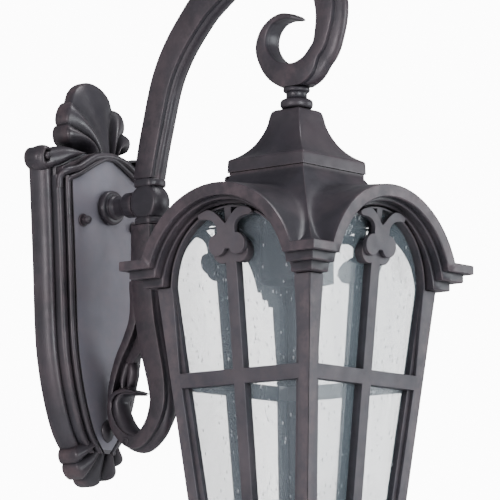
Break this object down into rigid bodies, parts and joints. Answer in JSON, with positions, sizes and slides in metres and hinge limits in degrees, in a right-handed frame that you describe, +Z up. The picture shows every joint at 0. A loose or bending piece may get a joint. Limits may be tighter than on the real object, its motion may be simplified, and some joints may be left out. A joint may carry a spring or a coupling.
{
  "type": "outdoor wall lantern",
  "caption": "Square tapered wall lantern with arched glass panes, hung from a scroll arm on a shell-crested wall plate.",
  "frame": {"origin": "on the wall plane, midway between the two fixing studs", "axes": "+Z up, +X to the right as seen by someone facing the wall, -Y out from the wall towards the lantern"},
  "size_m": [0.236, 0.396, 0.6696],
  "materials": {
    "bronze_paint": "cast aluminium with satin dark bronze paint, worn reddish on its edges",
    "plate_paint": "cast aluminium with satin dark bronze paint",
    "zinc_steel": "zinc plated",
    "brass": "plain",
    "seeded_glass": "clear seeded glass with small bubbles and fine streaks",
    "black_foam": "closed-cell foam",
    "porcelain": "white glaze",
    "white_nylon": "moulded nylon"
  },
  "bodies": {
    "wall_arm": {"arm_grub_screw": "zinc_steel", "arm_hub": "bronze_paint", "arm_locknut": "zinc_steel", "arm_neck": "bronze_paint", "arm_nipple": "zinc_steel", "backplate": "plate_paint", "cap": "bronze_paint", "cup_nut": "zinc_steel", "earth_screw": "brass", "hanger_locknut": "zinc_steel", "hanger_nipple": "zinc_steel", "hanger_spindle": "bronze_paint", "holder_contact": "brass", "holder_thread": "brass", "lamp_cup": "bronze_paint", "lamp_holder": "porcelain", "lower_scroll": "bronze_paint", "nut_washer_left": "bronze_paint", "nut_washer_right": "bronze_paint", "scroll_plug": "bronze_paint", "stud_left": "zinc_steel", "stud_right": "zinc_steel", "terminal_block": "white_nylon", "upper_arm": "bronze_paint", "wall_bracket": "zinc_steel", "wall_gasket": "black_foam"},
    "lantern_body": {"roof": "bronze_paint", "side_frame_front": "bronze_paint", "side_frame_right": "bronze_paint", "side_frame_back": "bronze_paint", "side_frame_left": "bronze_paint", "tracery_front": "bronze_paint", "tracery_right": "bronze_paint", "tracery_back": "bronze_paint", "tracery_left": "bronze_paint", "glass_front": "seeded_glass", "glass_right": "seeded_glass", "glass_back": "seeded_glass", "glass_left": "seeded_glass", "corner_clip_front_right": "zinc_steel", "corner_clip_back_right": "zinc_steel", "corner_clip_back_left": "zinc_steel", "corner_clip_front_left": "zinc_steel", "base_tray": "bronze_paint", "base_screw_front": "zinc_steel", "base_screw_right": "zinc_steel", "base_screw_back": "zinc_steel", "base_screw_left": "zinc_steel"},
    "dome_nut_left": {"dome_nut_left": "bronze_paint"},
    "dome_nut_right": {"dome_nut_right": "bronze_paint"},
    "lock_screw_left": {"lock_screw_left": "bronze_paint"},
    "lock_screw_right": {"lock_screw_right": "bronze_paint"},
    "finial": {"finial": "bronze_paint", "finial_nut": "zinc_steel"}
  },
  "joints": [
    {"name": "lantern_off", "type": "slide", "parent": "wall_arm", "child": "lantern_body", "axis": [0, 0, -1], "range_m": [0, 0.22]},
    {"name": "lock_screw_left_turn", "type": "hinge", "parent": "lantern_body", "child": "lock_screw_left", "pos_m": [-0.036, -0.23, 0.0192], "axis": [0, 1, 0], "continuous": true},
    {"name": "lock_screw_right_turn", "type": "hinge", "parent": "lantern_body", "child": "lock_screw_right", "pos_m": [0.036, -0.23, 0.0192], "axis": [0, 1, 0], "continuous": true},
    {"name": "dome_nut_left_turn", "type": "hinge", "parent": "wall_arm", "child": "dome_nut_left", "pos_m": [-0.037, -0.042, 0], "axis": [0, -1, 0], "continuous": true},
    {"name": "dome_nut_right_turn", "type": "hinge", "parent": "wall_arm", "child": "dome_nut_right", "pos_m": [0.037, -0.042, 0], "axis": [0, -1, 0], "continuous": true},
    {"name": "finial_turn", "type": "hinge", "parent": "lantern_body", "child": "finial", "pos_m": [0, -0.278, -0.395], "axis": [0, 0, -1], "continuous": true}
  ]
}
